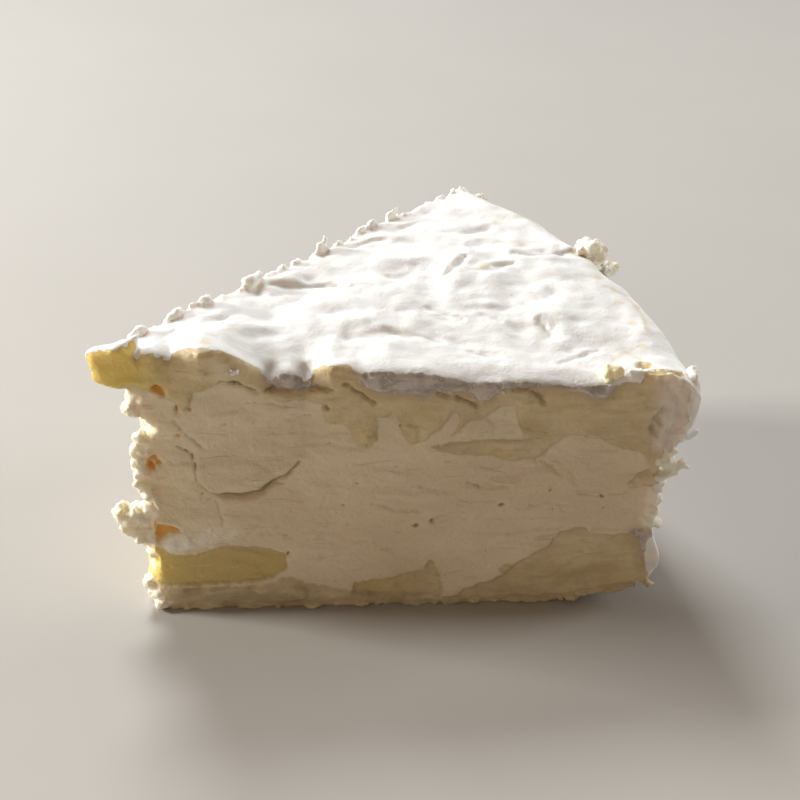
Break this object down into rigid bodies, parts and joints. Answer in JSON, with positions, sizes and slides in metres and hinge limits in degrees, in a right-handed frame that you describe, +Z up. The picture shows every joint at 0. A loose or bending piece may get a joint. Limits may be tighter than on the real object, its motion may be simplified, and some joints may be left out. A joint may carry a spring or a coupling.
{
  "type": "cheese wedge",
  "caption": "Wedge of soft triple-cream cheese with a wrinkled white bloomy rind, creamy cut faces and a crumbled point, resting flat on its base.",
  "frame": {"origin": "on the flat base at the base mount, near the middle of the wedge; the wheel's axis stands at x -60 mm, y -24 mm", "axes": "+Z up from the base; +X from the point of the wedge towards the wheel's rind wall, along the near cut face; +Y from the near cut face into the wedge"},
  "size_m": [0.1078, 0.0799, 0.0583],
  "materials": {
    "cheese": "chalky white rind on the top, wall and base; moist ivory paste and straw-coloured cream line on the cut faces"
  },
  "bodies": {
    "root": {"cheese_wedge": "cheese"}
  },
  "joints": []
}
